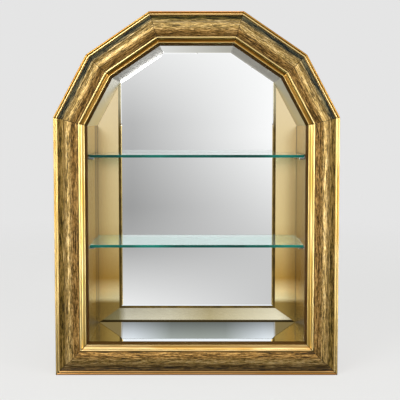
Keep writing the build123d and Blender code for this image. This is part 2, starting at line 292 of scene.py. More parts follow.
def farSide(tree, way):
    # the zone behind the cabinet that only the floor mirror looks at, painted with reflections of the glass
    # and the gold borders
    off = reckoned(tree, "ABSOLUTE", reckoned(tree, "SUBTRACT", way["X"], room["behindMiddle"]))
    offShare = mapped(tree, off, 0.0, room["behindReach"])
    low, high, least = room["behindRise"]
    rise = mapped(tree, way["Z"], low, high, least)
    rise = reckoned(tree, "MAXIMUM", rise, reckoned(tree, "GREATER_THAN", offShare, room["goldFrom"]))
    inputs = {0: ramped(tree, offShare, room["behind"]), "Scale": rise}
    return addNode(tree, "ShaderNodeVectorMath", inputs, operation="SCALE").outputs[0]


# The pale floor fades into the background, so no edge of it shows
floor = {
    "radius": 3.2,
    "spokes": 64,
    "fadeFrom": 0.9,
    "fadeTo": 2.6,
    "colour": "#E6E6E5",
    "ownColour": "#EAEAE9",
    "own": 0.8,  # share of the colour that it shows by itself, so that shadows stay pale
}


def layFloor():
    mesh = bmesh.new()
    bmesh.ops.create_circle(mesh, cap_ends=True, segments=floor["spokes"], radius=floor["radius"])
    bmesh.ops.translate(mesh, verts=mesh.verts, vec=(0, 0, footZ))
    piece = bpy.data.objects.new("studioFloor", bpy.data.meshes.new("studioFloor"))
    mesh.to_mesh(piece.data)
    mesh.free()
    bpy.context.scene.collection.objects.link(piece)
    material, tree = startMaterial("matt studio paper")
    inputs = {0: objectPlace(tree)}
    distance = addNode(tree, "ShaderNodeVectorMath", inputs, operation="LENGTH").outputs["Value"]
    fade = mapped(tree, distance, floor["fadeFrom"], floor["fadeTo"], interpolation_type="SMOOTHSTEP")
    rays = addNode(tree, "ShaderNodeLightPath").outputs
    seen = reckoned(tree, "MAXIMUM", rays["Is Transmission Ray"], rays["Is Camera Ray"])
    lit = addNode(tree, "ShaderNodeBsdfDiffuse", {"Color": linear(floor["colour"])})
    own = addNode(tree, "ShaderNodeEmission", {"Color": linear(floor["ownColour"])})
    paper = mixedShader(tree, reckoned(tree, "MULTIPLY", seen, floor["own"]), lit, own)
    gone = addNode(tree, "ShaderNodeBsdfTransparent")
    dress(piece, surfaced(material, mixedShader(tree, fade, paper, gone)))
    piece.visible_glossy = False  # the mirrors look past it at the room's own gradient


# Section of the moulding in millimetres: inset from the outer edge, and height above the case's front edge
section = {
    "back": -6.0,
    "sideTop": 0.5,  # how high the plain outer side runs before the first bead's worn edge
    "outerHeight": 7.0,
    "beads": 2,
    "beadWidth": 4.5,
    "beadRise": 1.7,
    "filletDrop": 1.0,
    "filletWidth": 1.2,
    "valleyWidth": 10.0,
    "valleyFloor": 4.0,
    "valleyHollow": 1.2,
    "bandWidth": 32.8,
    "crest": (18.5, 19.5),
    "bandEnd": 15.0,
    "quirkWidth": 0.7,
    "quirkDepth": 1.8,
    "lipBeadWidth": 4.4,
    "lipBeadRise": 1.9,
    "hollowWidth": 6.8,
    "hollowFall": 3.8,
    "hollowDepth": 1.1,
    "noseWidth": 1.9,
    "noseRise": 0.6,
    "width": 72.0,
    "rabbet": 53.7,
}
# how deep the surface is worn or combed, in millimetres, and how long and wide the marks are
relief = {
    "bead": {"depth": 0.07, "long": 60, "wide": 5},
    "valley": {"depth": 0.3, "long": 24, "wide": 2.6},
    "band": {"depth": 0.35, "long": 24, "wide": 2.0},
    "lip": {"depth": 0.04, "long": 90, "wide": 6},
    "plain": {"depth": 0},
}
wear = {"seedStep": 31.7, "fineScale": 2.3, "fineShare": 0.5, "middle": 0.5, "swing": 0.55}
mouldingSteps = {"along": 3.5, "bead": 9, "valley": 8, "band": 26, "lipBead": 10, "hollow": 9, "nose": 6}
mitre = {"groove": 0.35, "width": 0.8}


def arcThrough(start, middle, end, steps):
    # points of the circle through three points, from start to just before end
    (ax, ay), (mx, my), (bx, by) = start, middle, end
    twice = 2 * (ax * (my - by) + mx * (by - ay) + bx * (ay - my))
    sa, sm, sb = ax * ax + ay * ay, mx * mx + my * my, bx * bx + by * by
    cx = (sa * (my - by) + sm * (by - ay) + sb * (ay - my)) / twice
    cy = (sa * (bx - mx) + sm * (ax - bx) + sb * (mx - ax)) / twice
    first, last = atan2(ay - cy, ax - cx), atan2(by - cy, bx - cx)
    crowned = (bx - ax) * (my - ay) - (by - ay) * (mx - ax) > 0
    sweep = -((first - last) % (2 * pi)) if crowned else (last - first) % (2 * pi)
    radius = hypot(ax - cx, ay - cy)
    turns = [first + sweep * step / steps for step in range(steps)]
    return [(cx + radius * cos(turn), cy + radius * sin(turn)) for turn in turns]


def bulgeBetween(start, end, rise, steps):
    (ax, ay), (bx, by) = start, end
    length = hypot(bx - ax, by - ay)
    middle = ((ax + bx) / 2 - (by - ay) / length * rise, (ay + by) / 2 + (bx - ax) / length * rise)
    return arcThrough(start, middle, end, steps)


def mouldingSection():
    # points (inset, height, kind of surface), from the outer back edge over the face to the rabbet
    s, steps = section, mouldingSteps
    points = [(0, s["back"], "plain"), (0, s["sideTop"], "plain")]
    for bead in range(s["beads"]):
        start, end = bead * s["beadWidth"], (bead + 1) * s["beadWidth"]
        arc = bulgeBetween((start, s["outerHeight"]), (end, s["outerHeight"]), s["beadRise"], steps["bead"])
        points += [(*p, "bead") for p in arc]
    beadsEnd = s["beads"] * s["beadWidth"]
    fillet = s["outerHeight"] - s["filletDrop"]
    valleyStart = beadsEnd + s["filletWidth"]
    valleyEnd = valleyStart + s["valleyWidth"]
    bandEnd = valleyEnd + s["bandWidth"]
    points += [(beadsEnd, s["outerHeight"], "plain"), (beadsEnd, fillet, "plain")]
    foot = (valleyEnd, s["valleyFloor"])
    arc = bulgeBetween((valleyStart, fillet), foot, -s["valleyHollow"], steps["valley"])
    points += [(*p, "valley") for p in arc]
    crest = (valleyEnd + s["crest"][0], s["crest"][1])
    points += [(*p, "band") for p in arcThrough(foot, crest, (bandEnd, s["bandEnd"]), steps["band"])]
    lipStart = bandEnd + s["quirkWidth"]
    quirk = s["bandEnd"] - s["quirkDepth"]
    points += [(bandEnd, s["bandEnd"], "plain"), (bandEnd, quirk, "plain")]
    hollowStart = lipStart + s["lipBeadWidth"]
    noseStart, noseHeight = hollowStart + s["hollowWidth"], quirk - s["hollowFall"]
    noseEnd = noseStart + s["noseWidth"]
    lip = bulgeBetween((lipStart, quirk), (hollowStart, quirk), s["lipBeadRise"], steps["lipBead"])
    lip += bulgeBetween((hollowStart, quirk), (noseStart, noseHeight), -s["hollowDepth"], steps["hollow"])
    lip += bulgeBetween((noseStart, noseHeight), (noseEnd, noseHeight), s["noseRise"], steps["nose"])
    points += [(*p, "lip") for p in lip]
    points += [(noseEnd, noseHeight, "plain"), (s["width"], 0, "plain"), (s["rabbet"], 0, "plain"),
               (s["rabbet"], s["back"], "plain")]
    return points


def wearAt(kind, along, inset, height, seed):
    # inward depth of the combed and worn surface, in millimetres
    worn = relief[kind]
    if not worn["depth"]:
        return 0
    across = inset / worn["wide"] + wear["seedStep"] * seed
    place = Vector((along / worn["long"], across, height / worn["wide"]))
    rough = noise.noise(place) + wear["fineShare"] * noise.noise(place * wear["fineScale"])
    return worn["depth"] * min(1, max(0, wear["middle"] + wear["swing"] * rough))


def buildMoulding(side):
    name = sideNames[side]
    points = mouldingSection()
    count = len(points)
    dx, dz = sideDirection(side)
    nx, nz = sideInward(side)
    starts = [insetCorner(side, inset * millimetre) for inset, _, _ in points]
    ends = [insetCorner((side + 1) % 8, inset * millimetre) for inset, _, _ in points]
    run = hypot(ends[0][0] - starts[0][0], ends[0][1] - starts[0][1]) / millimetre
    steps = round(run / mouldingSteps["along"])
    nearEnd = mitre["width"] / run
    shares = [0, nearEnd] + [step / steps for step in range(1, steps)] + [1 - nearEnd, 1]
    outwards = []
    for place in range(count):
        before, after = points[place - 1], points[(place + 1) % count]
        span = hypot(after[0] - before[0], after[1] - before[1])
        outwards.append(((before[1] - after[1]) / span, (after[0] - before[0]) / span))
    vertices = []
    for share in shares:
        atMitre = share in (0, 1)
        for (inset, height, kind), start, end, out in zip(points, starts, ends, outwards):
            x = start[0] + (end[0] - start[0]) * share
            z = start[1] + (end[1] - start[1]) * share
            along = (x * dx + z * dz) / millimetre
            depth = wearAt(kind, along, inset, height, side)
            if atMitre and kind != "plain":
                depth = max(depth, mitre["groove"])
            shift = -out[0] * depth * millimetre
            lift = (height - out[1] * depth) * millimetre
            vertices.append((x + nx * shift, caseFront - lift, z + nz * shift))
    faces = []
    for ring in range(len(shares) - 1):
        for place in range(count):
            following = (place + 1) % count
            a, b = ring * count + place, ring * count + following
            faces.append((a, a + count, b + count, b))
    faces.append(tuple(range(count)))
    faces.append(tuple(reversed(range((len(shares) - 1) * count, len(shares) * count))))
    return addPiece(f"moulding_{name}", vertices, faces, "cabinet",
                    [gildedMoulding(side)], replaced=[f"frame_{name}"])


def addPiece(name, vertices, faces, body, materials, replaced=(), sharpAbove=32, faceMaterials=None):
    # a mesh that rides on a body, wears its materials and stands for its CAD nodes
    mesh = bpy.data.meshes.new(name)
    mesh.from_pydata(vertices, [], faces)
    mesh.validate()
    tidy = bmesh.new()
    tidy.from_mesh(mesh)
    bmesh.ops.recalc_face_normals(tidy, faces=tidy.faces)
    tidy.to_mesh(mesh)
    tidy.free()
    mesh.polygons.foreach_set("use_smooth", [True] * len(mesh.polygons))
    mesh.set_sharp_from_angle(angle=radians(sharpAbove))
    if faceMaterials:
        mesh.polygons.foreach_set("material_index", faceMaterials)
    piece = bpy.data.objects.new(name, mesh)
    bpy.context.scene.collection.objects.link(piece)
    for material in materials:
        mesh.materials.append(material)
    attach(piece, body)
    if replaced:
        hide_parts(*replaced)
    return piece


def sideCoordinates(tree, side):
    # the way along a side, the inset from its outer edge and the height off the wall, in millimetres
    place = objectPlace(tree)
    dx, dz = sideDirection(side)
    nx, nz = sideInward(side)
    edge = corners[side][0] * nx + corners[side][1] * nz
    along = dotted(tree, place, (dx / millimetre, 0, dz / millimetre))
    across = dotted(tree, place, (nx / millimetre, 0, nz / millimetre))
    inset = reckoned(tree, "SUBTRACT", across, edge / millimetre)
    return along, inset, dotted(tree, place, (0, -1 / millimetre, 0))


def combed(tree, along, across, up, long, wide, seed, detail=3.0, roughness=0.55):
    # noise drawn out along a side: marks that are this long and wide, in millimetres
    place = addNode(tree, "ShaderNodeCombineXYZ", {0: reckoned(tree, "MULTIPLY_ADD", along, 1 / long, seed),
                                                   1: reckoned(tree, "MULTIPLY", across, 1 / wide),
                                                   2: reckoned(tree, "MULTIPLY", up, 1 / wide)})
    return clouded(tree, place.outputs[0], 1.0, detail, roughness)


# Leaf over red bole on the beads and the lip, umber in the valley, and a combed bronze band between; painted
# shade deepens the valley, the grooves beside the beads and the lip's hollow, and painted highlight lines run
# along the beads
gilding = {
    "mix": (0.5, 0.15, 0.35),  # how much the comb marks, the patches and the flecks count in the pattern
    "outerBand": [(0.42, "#54431F"), (0.48, "#957A42"), (0.53, "#BC9C5E"), (0.6, "#DCC28C")],
    "innerBand": [(0.42, "#382810"), (0.48, "#6E5020"), (0.53, "#98723A"), (0.6, "#C29A5A")],
    "bandTurns": (33, 43),  # where the pale outer half gives way to the browner inner half
    "waver": 0.16,  # how far the comb marks push such a border to and fro, as a share of the width
    "waverShift": 5.8,  # and how far they move it inwards on the average, in millimetres
    "glazeEnd": 4,  # half the width of the border between glaze and band
    "glazeSteps": (0.42, 0.5, 0.58),
    "leafSteps": (0.4, 0.6),
    "umberFlecks": [(0.4, 0.7), (0.46, 0.0)],
    "umber": "#2A1F10",
    "boleAndShade": "#5A2A12",
    "grooves": (4.5, 9.0, 53.9, 58.1),  # beside the beads: painted shade in the grooves, in the red of the bole that shows there
    "grooveReach": 0.7,
    "grooveShare": 0.8,
    # the orange brown of the painted shade in the lip's hollow, and of the darkened outer beads
    "hollow": "#B4752A",
    "paintedHighlight": "#FAE4A0",
    "sight": "#4A3006",
    "mitre": "#2C1E0D",
    "mitreLine": 1.3,  # half its width in millimetres
    "mitreDark": 0.85,
    "rawWood": "#B99A6B",
    "rawRoughness": 0.65,
    "rawReach": 0.3,  # how far in front of the frame's back the bare wood still counts, in millimetres
    "leafRoughness": 0.3,
    "bandRoughness": 0.45,
    "leafMetal": 0.95,
    "bandMetal": 0.55,
    "shine": 0.2,
    "bandBump": 0.35,
    "bumpHeight": 0.0004,
}
# Marks in the paint: their length and width in millimetres, the seed's step by side and its start, and the
# noise. The real comb marks are under 1 mm wide and are drawn coarser, so that they show
marks = {
    "comb": {"size": (30, 2.1), "seed": (7.3, 0), "noise": (3.0, 0.55)},
    "patch": {"size": (120, 11), "seed": (3.1, 50), "noise": (2.0, 0.55)},
    "fleck": {"size": (8, 2.0), "seed": (11.9, 90), "noise": (2.0, 0.7)},
    "umber": {"size": (13.6, 1.8), "seed": (5.7, 20), "noise": (3.0, 0.65)},
}
# Where each finish and each band of painted light and shade lies across the moulding: millimetres from the
# outer edge, and its share there
finishAndPaintedLightPlaces = {
    "leaf": ((8.9, 1), (9.4, 0), (53.2, 0), (53.8, 1), (66.8, 1), (67.2, 0)),
    "beadDarkening": ((9.0, 1), (9.4, 0)),
    "hollowShade": ((58.5, 0), (60.5, 1), (64.0, 1), (65.2, 0)),
    "paintedHighlight": ((5.2, 0), (6.0, 1), (7.4, 1), (8.2, 0), (54.1, 0), (54.9, 1), (56.6, 1), (57.4, 0),
               (65.0, 0), (65.5, 0.7), (66.4, 0.7), (66.8, 0)),
    "sight": ((66.7, 0), (67.1, 1)),
}
# by kind of side, painted light and shade: the leaf's darker and paler patches, its tone palest on the stiles
# and darkest on the top rail; the glaze left in the valley, with painted shade by side; how strong the
# painted shade in the lip's hollow and the darkening of the outer beads are; and how strong the painted
# highlight lines are
sideTonesAndPaintedLight = {
    "stile": {
        "leaf": ("#DDBA60", "#FAE298"), "glazeAndShade": ("#2E240A", "#705A24", "#A68648"), "valleyTo": 21,
        "hollowShade": 0.3, "beadDarkening": 0.3, "paintedHighlight": 0.45},
    "facet": {
        "leaf": ("#B28430", "#DEB45A"), "glazeAndShade": ("#161A1A", "#40443A", "#767050"), "valleyTo": 18,
        "hollowShade": 0.6, "beadDarkening": 0.4, "paintedHighlight": 0.65},
    "top_rail": {
        "leaf": ("#74521A", "#A87E34"), "glazeAndShade": ("#201F12", "#4A4522", "#766630"), "valleyTo": 18,
        "hollowShade": 0.85, "beadDarkening": 0.8, "paintedHighlight": 0.55},
    "bottom_rail": {
        "leaf": ("#C09A56", "#E2C488"), "glazeAndShade": ("#1E1608", "#403014", "#604A26"), "valleyTo": 20,
        "hollowShade": 0.3, "beadDarkening": 0.75, "paintedHighlight": 0.35},
}


def mitreShare(tree, side):
    # how dark the two mitre lines of a side are; 0 away from them
    place = objectPlace(tree)
    nearest = 1.0
    for corner in (side, (side + 1) % 8):
        outer, inner = insetCorner(corner, 0), insetCorner(corner, section["width"] * millimetre)
        span = hypot(inner[0] - outer[0], inner[1] - outer[1])
        across = ((inner[1] - outer[1]) / span, (outer[0] - inner[0]) / span)
        line = outer[0] * across[0] + outer[1] * across[1]
        off = reckoned(tree, "SUBTRACT", dotted(tree, place, (across[0], 0, across[1])), line)
        nearest = reckoned(tree, "MINIMUM", reckoned(tree, "ABSOLUTE", off), nearest)
    return mapped(tree, nearest, 0.0, gilding["mitreLine"] * millimetre, gilding["mitreDark"], 0.0)


def gildedMoulding(side):
    # water-gilt and combed bronze-painted wood: smooth warm lines of leaf, and a broken soft sheen between
    g = gilding
    name = sideNames[side]
    thisSideTonesAndLight = next(values for kind, values in sideTonesAndPaintedLight.items() if name.endswith(kind))
    material, tree = startMaterial(f"gilt and combed bronze, {name}")
    along, inset, reach = sideCoordinates(tree, side)
    width = section["width"]
    share = reckoned(tree, "DIVIDE", inset, width)

    def across(places, value=share, most=1.0):
        # the share of a finish, from places in millimetres
        return ramped(tree, value, [(place / width, level * most) for place, level in places])

    def marked(kind):
        m = marks[kind]
        seed = m["seed"][0] * side + m["seed"][1]
        return combed(tree, along, inset, reach, *m["size"], seed, *m["noise"])

    comb, patch, fleck = marked("comb"), marked("patch"), marked("fleck")
    mixed = summed(tree, *zip((comb, patch, fleck), g["mix"]))
    wavering = summed(tree, (comb, g["waver"]), (share, 1.0))
    outer, inner = [place + g["waverShift"] for place in g["bandTurns"]]
    band = blended(tree, across(((outer, 0), (inner, 1)), wavering), ramped(tree, mixed, g["outerBand"]),
                   ramped(tree, mixed, g["innerBand"]))
    band = blended(tree, ramped(tree, marked("umber"), g["umberFlecks"]), band, g["umber"])
    # the valley's umber glaze, with painted shade darker on the facets and rails than on the stiles
    glazeAndShade = ramped(tree, mixed, list(zip(g["glazeSteps"], thisSideTonesAndLight["glazeAndShade"])))
    end = thisSideTonesAndLight["valleyTo"] + g["waverShift"]
    paint = blended(tree, across(((end - g["glazeEnd"], 1), (end + g["glazeEnd"], 0)), wavering), band, glazeAndShade)
    # the leaf's tone by side is painted light and shade
    leaf = ramped(tree, patch, list(zip(g["leafSteps"], thisSideTonesAndLight["leaf"])))
    # painted shade in the lip's hollow and a darkening of the outer beads, both towards orange brown,
    # strongest on the rails
    for part in ("beadDarkening", "hollowShade"):
        leaf = blended(tree, across(finishAndPaintedLightPlaces[part], most=thisSideTonesAndLight[part]), leaf, g["hollow"])
    # painted highlight lines along the second bead, the lip's bead and the nose
    leaf = blended(tree, across(finishAndPaintedLightPlaces["paintedHighlight"], most=thisSideTonesAndLight["paintedHighlight"]), leaf, g["paintedHighlight"])
    # painted shade in the grooves beside the beads, laid on in the red of the bole
    grooves, beside = [], g["grooveReach"]
    for groove in g["grooves"]:
        grooves += [(groove - beside, 0), (groove, g["grooveShare"]), (groove + beside, 0)]
    leaf = blended(tree, across(grooves), leaf, g["boleAndShade"])
    leafShare = across(finishAndPaintedLightPlaces["leaf"])
    colour = blended(tree, leafShare, paint, leaf)
    colour = blended(tree, across(finishAndPaintedLightPlaces["sight"]), colour, g["sight"])
    colour = blended(tree, mitreShare(tree, side), colour, g["mitre"])
    bump = bumped(tree, mixed, mapped(tree, leafShare, 0.0, 1.0, g["bandBump"], 0.0), g["bumpHeight"])
    rough = mapped(tree, leafShare, 0.0, 1.0, g["bandRoughness"], g["leafRoughness"])
    metal = mapped(tree, leafShare, 0.0, 1.0, g["bandMetal"], g["leafMetal"])
    others = {"Metallic": metal, "Specular IOR Level": g["shine"], "Normal": bump}
    skin = principled(tree, colour, rough, others)
    bare = principled(tree, g["rawWood"], g["rawRoughness"])
    backShare = reckoned(tree, "LESS_THAN", reach, -frameBack / millimetre + g["rawReach"])
    return surfaced(material, mixedShader(tree, backShare, skin, bare))


# Mirror panes: a tint is one colour, or runs along an axis over a span in metres; a running tint carries
# painted reflections and painted shade over the glass's own tint. A tilt is the slope by which a bump leans
# the reflection along an axis. A line is a band between two places on an axis: the corner lines are joints,
# the left wall's front strip is a greyer band, its front line and back strip are painted reflections of dark
# parts, and the foot line is painted shade
paneRoughness = {"silver": 0.02, "clouded silver": 0.34, "gold": 0.26, "clouded gold": 0.34}
# gold tints of the side walls and the borders, with painted reflections and painted highlights in their
# gradients; the two walls differ as lit and shaded copies
leftWallTintAndPaintedLight = [(0, "#9C7A3A"), (0.12, "#DCB66C"), (0.22, "#A07C34"), (0.7, "#A68648"), (1, "#F0D292")]
rightWallTintAndPaintedLight = [(0, "#847040"), (0.12, "#C0A05C"), (0.22, "#8A6E2E"), (0.7, "#8A7442"), (1, "#A89264")]
borderTintAndPaintedLight = [(0.06, "#A08648"), (0.08, "#FFF0B8"), (0.12, "#FFE6A6"), (0.18, "#C49C4C"), (0.45, "#E8D094"),
              (1, "#E8D4A8")]
lean = ("Z", -0.1)
sideBorder = {"kind": "gold", "axis": "Z", "span": (-0.43, 0.06), "tintAndPaintedLight": borderTintAndPaintedLight, "tilt": lean}
# on the left wall, the front line and the back strip are painted reflections of dark parts, beside a greyer
# front strip; the corner line is the joint at the back corner
frontStrip, frontPaintedReflection = ("Y", -0.16, -0.056, "#8E865C", 0.6), ("Y", -0.052, -0.035, "#3C2E10", 0.9)
cornerLine = ("Y", -0.012, 0.0, "#3C2E10", 0.9)
backPaintedReflection = ("Y", -0.034, -0.013, "#644E20", 0.8)
# painted shade along the foot of the bottom border, where it meets the floor mirror
footPaintedShade = ("Z", -0.449, -0.443, "#3A2E14", 1)
panes = {
    "back_mirror": {"kind": "silver", "tintAndPaintedLight": "#FAFBFB"},
    "floor_mirror": {"kind": "silver", "tintAndPaintedLight": "#F6FAFC"},
    "lining_top_rail": {"kind": "silver", "axis": "X", "span": (-0.08, 0.08),
                        "tintAndPaintedLight": [(0, "#FFFFFA"), (0.4, "#E8E6DA"), (1, "#B0AA90")], "tilt": ("Y", 0.069)},
    "lining_left_upper_facet": {"kind": "clouded silver", "axis": "X", "span": (-0.18, -0.08),
                                "tintAndPaintedLight": [(0, "#B4AE9E"), (0.5, "#E0DCD2"), (1, "#BCB6A8")]},
    "lining_right_upper_facet": {"kind": "clouded silver", "axis": "X", "span": (0.08, 0.18),
                                 "tintAndPaintedLight": [(0, "#C8C0AE"), (1, "#B0A692")]},
    "lining_left_lower_facet": {"kind": "clouded gold", "axis": "X", "span": (-0.233, -0.176),
                                "tintAndPaintedLight": [(0, "#DCD4B4"), (1, "#F6F2E0")]},
    "lining_right_lower_facet": {"kind": "clouded gold", "axis": "X", "span": (0.176, 0.233),
                                 "tintAndPaintedLight": [(0, "#CCC4A4"), (1, "#BEB698")]},
    "lining_left_stile": {"kind": "gold", "axis": "Z", "span": (-0.43, 0.02), "tintAndPaintedLight": leftWallTintAndPaintedLight,
                          "lines": [frontStrip, frontPaintedReflection, backPaintedReflection, cornerLine]},
    "lining_right_stile": {"kind": "gold", "axis": "Z", "span": (-0.43, 0.02), "tintAndPaintedLight": rightWallTintAndPaintedLight,
                           "lines": [cornerLine]},
    "back_border_left": sideBorder,
    "back_border_right": sideBorder,
    "back_border_bottom": {"kind": "gold", "axis": "X", "span": (-0.233, 0.19), "tilt": lean,
                           "tintAndPaintedLight": [(0, "#847A54"), (0.11, "#948A62"), (0.15, "#DCD6BE"), (0.4, "#DCD4B8"),
                                    (0.62, "#C0B288"), (1, "#F2EACC")],
                           "lines": [footPaintedShade]},
}
# In the photo the mirrors show neither the arch's own top nor a shelf, and the floor mirror looks past
# the border behind it, so these pieces are left out of what the mirrors show
unseenInMirrors = [f"{kind}_{side}" for kind in ("lining", "case_board", "moulding")
                   for side in sideNames[1:6]]
unseenInMirrors += ["glue_blocks", "lower_shelf_plate", "back_border_bottom", "joint_strip_bottom",
                    "back_panel"]


def lineShare(tree, value, low, high, most):
    # the most between two places, falling softly to 0 on either side
    soft = 0.002
    rise = soft / (high - low + 2 * soft)
    place = mapped(tree, value, low - soft, high + soft)
    return ramped(tree, place, [(0, 0.0), (rise, most), (1 - rise, most), (1, 0.0)])


def silveredGlass(name):
    # silvered float glass, clear or gold-tinted: a clean reflection, or a warm and softer one
    pane = panes[name]
    material, tree = startMaterial(f"{pane['kind']} mirror glass, {name}")
    place = addNode(tree, "ShaderNodeSeparateXYZ", {0: objectPlace(tree)}).outputs
    tintAndPaintedLight = pane["tintAndPaintedLight"]
    if "span" in pane:
        # the running tint paints reflections and shade onto the pane
        tintAndPaintedLight = ramped(tree, mapped(tree, place[pane["axis"]], *pane["span"]), tintAndPaintedLight)
    # dark lines: joints, painted reflections and painted shade
    for axis, start, end, colour, strength in pane.get("lines", ()):
        tintAndPaintedLight = blended(tree, lineShare(tree, place[axis], start, end, strength), tintAndPaintedLight, colour)
    others = {"Metallic": 1.0}
    if "tilt" in pane:
        axis, slope = pane["tilt"]
        others["Normal"] = bumped(tree, reckoned(tree, "MULTIPLY", place[axis], slope), 1.0, 1.0)
    return surfaced(material, principled(tree, tintAndPaintedLight, paneRoughness[pane["kind"]], others))


# Clear float shelves with ground edges
shelves = {
    "arris": 0.6,
    "arrisSteps": 2,
    "sharpAbove": 10,  # degrees; keeps the broad faces flat, so that reflections in them stay straight
    "clear": "#CDEAE6",
    "through": 0.88,
    "edge": "#0F6E60",
    "edgeDeep": "#043A32",
    "edgeRoughness": 0.4,
    "edgeShine": 0.12,
    "bend": 1.52,  # index of refraction
}


def floatGlass():
    # 6 mm float glass: almost colourless through its face
    material, tree = startMaterial("clear float glass")
    glass = principled(tree, shelves["clear"], 0.0, {"IOR": shelves["bend"],
                                                     "Transmission Weight": shelves["through"]})
    clear = addNode(tree, "ShaderNodeBsdfTransparent")
    inShadow = addNode(tree, "ShaderNodeLightPath").outputs["Is Shadow Ray"]
    return surfaced(material, mixedShader(tree, inShadow, glass, clear))


def groundEdge():
    # the same glass seen end on: light that has come a long way through it, so a deep sea green
    material, tree = startMaterial("ground green edge of float glass")
    waves = clouded(tree, objectPlace(tree), 9.0, 2.0)
    green = ramped(tree, waves, [(0.35, shelves["edgeDeep"]), (0.65, shelves["edge"])])
    glass = principled(tree, green, shelves["edgeRoughness"], {"IOR": shelves["bend"],
                                                               "Specular IOR Level": shelves["edgeShine"]})
    return surfaced(material, glass)


def buildShelf(name, materials):
    low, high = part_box(name)
    shape = bmesh.new()
    bmesh.ops.create_cube(shape, size=1)
    for vertex in shape.verts:
        vertex.co = Vector([(low[axis] + high[axis]) / 2 + vertex.co[axis] * (high[axis] - low[axis])
                            for axis in range(3)])
    bmesh.ops.bevel(shape, geom=shape.edges[:], offset=shelves["arris"] * millimetre,
                    segments=shelves["arrisSteps"], profile=0.5, affect="EDGES")
    shape.verts.index_update()
    vertices = [vertex.co[:] for vertex in shape.verts]
    faces = [tuple(vertex.index for vertex in face.verts) for face in shape.faces]
    ends = [0 if abs(face.normal.z) > 0.9 else 1 for face in shape.faces]
    shape.free()
    return addPiece(f"{name}_plate", vertices, faces, name, materials, replaced=[name],
                    sharpAbove=shelves["sharpAbove"], faceMaterials=ends)


def ringFaces(rings, turns):
    # faces between rings of vertices, where a ring of one vertex is a point
    faces = []
    for first, second in zip(rings, rings[1:]):
        for turn in range(turns):
            a, b = turn % len(first), (turn + 1) % len(first)
            c, d = (turn + 1) % len(second), turn % len(second)
            faces.append(tuple(dict.fromkeys([first[a], first[b], second[c], second[d]])))
    return [face for face in faces if len(face) > 2]


def latheAlong(origin, axis, profile, turns, clamp=None):
    # vertices and faces of a closed turned shape: profile points are (way along the axis, radius), in metres
    origin, axis = Vector(origin), Vector(axis).normalized()
    side = axis.orthogonal().normalized()
    other = axis.cross(side)
    vertices, rings = [], []
    for way, radius in profile:
        if radius < 1e-7:
            rings.append([len(vertices)])
            vertices.append(origin + axis * way)
            continue
        rings.append(list(range(len(vertices), len(vertices) + turns)))
        for turn in range(turns):
            angle = 2 * pi * turn / turns
            spoke = side * (radius * cos(angle)) + other * (radius * sin(angle))
            vertices.append(origin + axis * way + spoke)
    if clamp:
        vertices = [clamp(vertex) for vertex in vertices]
    return vertices, ringFaces(rings, turns)


def joined(parts):
    # several meshes as one list of vertices and faces
    vertices, faces = [], []
    for partVertices, partFaces in parts:
        start = len(vertices)
        vertices += partVertices
        faces += [tuple(index + start for index in face) for face in partFaces]
    return vertices, faces


plating = {"noise": (260.0, 3.0), "brighter": 0.08, "duller": 0.1, "bump": (0.15, 0.0002)}


def platedSteel(name, colour, roughness):
    # nickel or zinc plate over steel: bright and a little clouded
    material, tree = startMaterial(name)
    cloud = clouded(tree, objectPlace(tree), *plating["noise"])
    rough = mapped(tree, cloud, 0.0, 1.0, roughness - plating["brighter"], roughness + plating["duller"])
    others = {"Metallic": 1.0, "Normal": bumped(tree, cloud, *plating["bump"])}
    return surfaced(material, principled(tree, colour, rough, others))


# Shelf pins, in millimetres: a collar against the wall and a seat with a flat top
pins = {"collar": 4.2, "collarWidth": 1.4, "shaft": 2.5, "shaftDepth": 11.0, "seat": 3.6, "seatLength": 9.0,
        "margin": 14.0, "seatGap": 0.3, "flat": 1.2, "rim": 0.4, "nose": 1.2}
pinNose = {"steps": 5, "flatShare": 0.72}
pinTurns = 24


def buildPins(shelf, material):
    shelfLow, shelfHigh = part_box(shelf)
    p = {key: value * millimetre for key, value in pins.items()}
    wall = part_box("lining_right_stile")[0].x
    flatTop = shelfLow.z - p["seatGap"]
    centre = flatTop - p["flat"]
    rim, seat, nose = p["rim"], p["seat"], p["collarWidth"] + p["seatLength"]
    profile = [(-p["shaftDepth"], 0), (-p["shaftDepth"], p["shaft"]), (0, p["shaft"]), (0, p["collar"] - rim),
               (rim / 2, p["collar"]), (p["collarWidth"] - rim, p["collar"]),
               (p["collarWidth"], p["collar"] - rim), (p["collarWidth"], seat), (nose - p["nose"], seat)]
    steps, flatShare = pinNose["steps"], pinNose["flatShare"]
    for step in range(1, steps):
        turn = pi / 2 * step / steps
        profile.append((nose - p["nose"] * (1 - sin(turn)), seat * (flatShare + (1 - flatShare) * cos(turn))))
    profile.append((nose, 0.0))
    parts = []
    for y in (shelfHigh.y - p["margin"], shelfLow.y + p["margin"]):
        for hand in (-1, 1):

            def flatten(vertex):
                overSeat = abs(vertex.x) < wall - p["collarWidth"] - 1e-5
                return Vector((vertex.x, vertex.y, min(vertex.z, flatTop))) if overSeat else vertex
            parts.append(latheAlong((hand * wall, y, centre), (-hand, 0, 0), profile, pinTurns, flatten))
    vertices, faces = joined(parts)
    return addPiece(f"{shelf}_pin_set", vertices, faces, "cabinet", [material],
                    replaced=[f"{shelf}_pins"])


# D rings of 3 mm wire, in millimetres
ringShape = {"wire": 1.5, "half": 11.5, "corner": 2.6, "drop": 6.0}
ringSteps = {"corner": 6, "bow": 32, "wire": 14}


